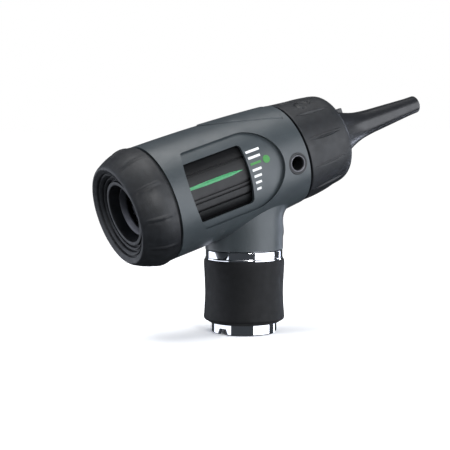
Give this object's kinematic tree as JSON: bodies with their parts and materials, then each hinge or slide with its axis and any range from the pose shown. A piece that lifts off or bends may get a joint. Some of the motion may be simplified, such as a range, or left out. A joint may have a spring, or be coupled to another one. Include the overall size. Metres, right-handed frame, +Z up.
{
  "type": "otoscope head",
  "caption": "Otoscope head with a focusing eyepiece, side finger wheels with a printed scale, a turning front grip that ejects the speculum, and a bayonet handle socket.",
  "frame": {"origin": "centre of the base ring's underside, at the mouth of the handle socket", "axes": "+Z up the neck, +X towards the speculum, -Y is the side with the insufflation port; the barrel points 17 degrees above +X"},
  "size_m": [0.1163, 0.0371, 0.075],
  "materials": {
    "housing_grey": "satin moulded",
    "soft_black": "matte moulded",
    "wheel_black": "matte moulded",
    "index_green": "inlaid",
    "print_white": "printed",
    "print_green": "printed",
    "chrome": "polished plating",
    "turned_steel": "turned",
    "black_aluminium": "black anodised",
    "clear_glass": "polished",
    "speculum_grey": "gloss moulded",
    "inner_plastic": "moulded",
    "brass": "turned",
    "fibre": "polished fibre ends"
  },
  "bodies": {
    "head": {"housing_right": "housing_grey", "housing_left": "housing_grey", "housing_dowels": "inner_plastic", "top_panel": "housing_grey", "scale_marks": "print_white", "best_focus_marks": "print_green", "eyecup": "soft_black", "eyepiece_ring": "turned_steel", "eyepiece_lens": "clear_glass", "lens_tube": "black_aluminium", "friction_ring": "soft_black", "wheel_spacer": "inner_plastic", "nose_cone": "black_aluminium", "nose_gasket": "soft_black", "nose_screws": "turned_steel", "light_ring": "fibre", "objective_lens": "clear_glass", "objective_ring": "black_aluminium", "grip_circlip": "turned_steel", "return_spring": "turned_steel", "handle_socket": "chrome", "grip_sleeve": "soft_black", "neck_ring": "chrome", "lamp_base": "brass", "lamp_insulator": "inner_plastic", "lamp_contact": "brass", "lamp_holder": "inner_plastic", "lamp_bulb": "clear_glass", "guide_plate": "inner_plastic", "guide_ferrule": "turned_steel", "light_guide": "fibre", "port_fitting": "turned_steel", "port_seal": "soft_black"},
    "wheel": {"focus_wheel": "wheel_black", "index_lines": "index_green"},
    "carriage": {"lens_carriage": "black_aluminium", "focus_lens": "clear_glass", "cam_pins": "turned_steel"},
    "grip": {"tip_grip": "soft_black", "grip_core": "inner_plastic"},
    "ejector": {"ejector_sleeve": "inner_plastic", "ejector_pins": "turned_steel"},
    "speculum": {"speculum": "speculum_grey"}
  },
  "joints": [
    {"name": "focus_turn", "type": "hinge", "parent": "head", "child": "wheel", "pos_m": [0, 0, 0.0518], "axis": [0.9563, 0, 0.2924], "range_deg": [-15, 27.5]},
    {"name": "focus_slide", "type": "slide", "parent": "head", "child": "carriage", "axis": [0.9563, 0, 0.2924], "range_m": [-0.00215, 0.0039]},
    {"name": "grip_turn", "type": "hinge", "parent": "head", "child": "grip", "pos_m": [0, 0, 0.0518], "axis": [0.9563, 0, 0.2924], "range_deg": [0, 35], "stiffness_Nm_per_rad": 0.12, "springref_deg": -5.73},
    {"name": "ejector_slide", "type": "slide", "parent": "head", "child": "ejector", "axis": [0.9563, 0, 0.2924], "range_m": [0, 0.00252]},
    {"name": "speculum_pull", "type": "slide", "parent": "ejector", "child": "speculum", "axis": [0.9563, 0, 0.2924], "range_m": [0, 0.045]}
  ],
  "couplings": [
    {"joint": "focus_slide", "follows": "focus_turn", "m_per_rad": 0.0080888},
    {"joint": "ejector_slide", "follows": "grip_turn", "m_per_rad": 0.0040926}
  ]
}
